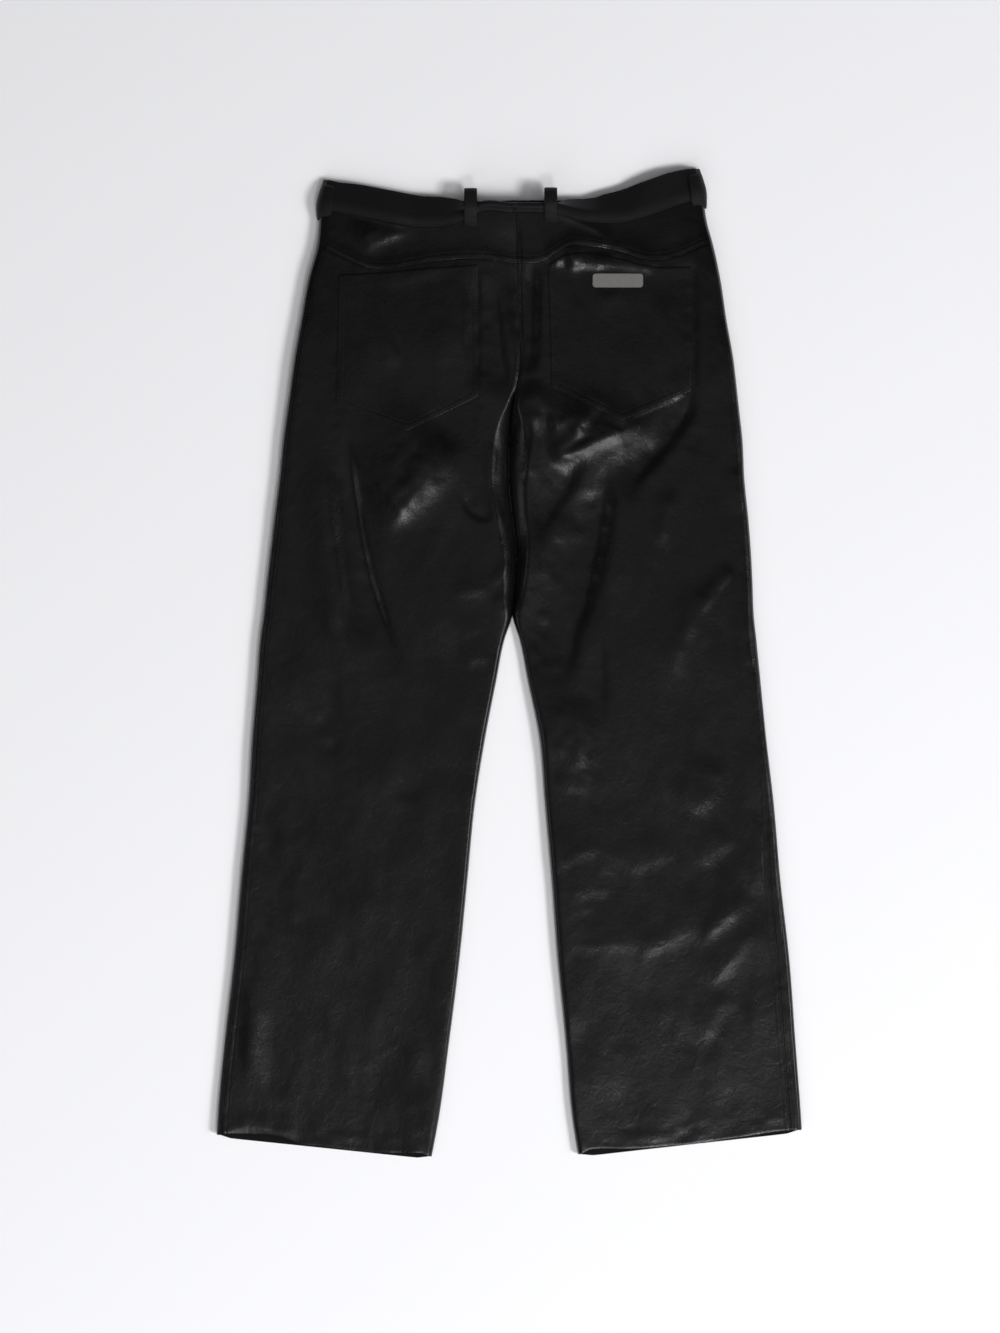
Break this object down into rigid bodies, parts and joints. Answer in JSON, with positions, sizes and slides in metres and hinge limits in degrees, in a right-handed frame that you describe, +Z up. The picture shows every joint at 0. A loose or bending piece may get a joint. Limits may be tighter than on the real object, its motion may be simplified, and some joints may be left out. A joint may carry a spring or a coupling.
{
  "type": "leather trousers",
  "caption": "Straight-leg leather trousers laid flat on their front, back side up, with back yokes, pointed patch pockets, belt loops and a curled waistband.",
  "frame": {"origin": "on the surface the trousers lie on, below the middle of their box", "axes": "+X to the right of the lay, +Y from the hems to the waist, +Z up from the surface, out of the back of the garment"},
  "size_m": [0.6429, 1.0849, 0.0339],
  "materials": {
    "leather": "smooth semi-gloss black leather with a fine grain",
    "plate": "brushed pale metal",
    "button": "satin metal"
  },
  "bodies": {
    "root": {"back_panel_left": "leather", "back_panel_right": "leather", "front_panel_left": "leather", "front_panel_right": "leather", "yoke_left": "leather", "yoke_right": "leather", "waistband_back": "leather", "waistband_front_left": "leather", "waistband_front_right": "leather", "pocket_back_left": "leather", "pocket_back_right": "leather", "belt_loop_back_left": "leather", "belt_loop_back_right": "leather", "belt_loop_side_left": "leather", "belt_loop_side_right": "leather", "belt_loop_front_left": "leather", "belt_loop_front_right": "leather", "fly_placket": "leather", "pocket_plate": "plate", "waist_button": "button"}
  },
  "joints": []
}
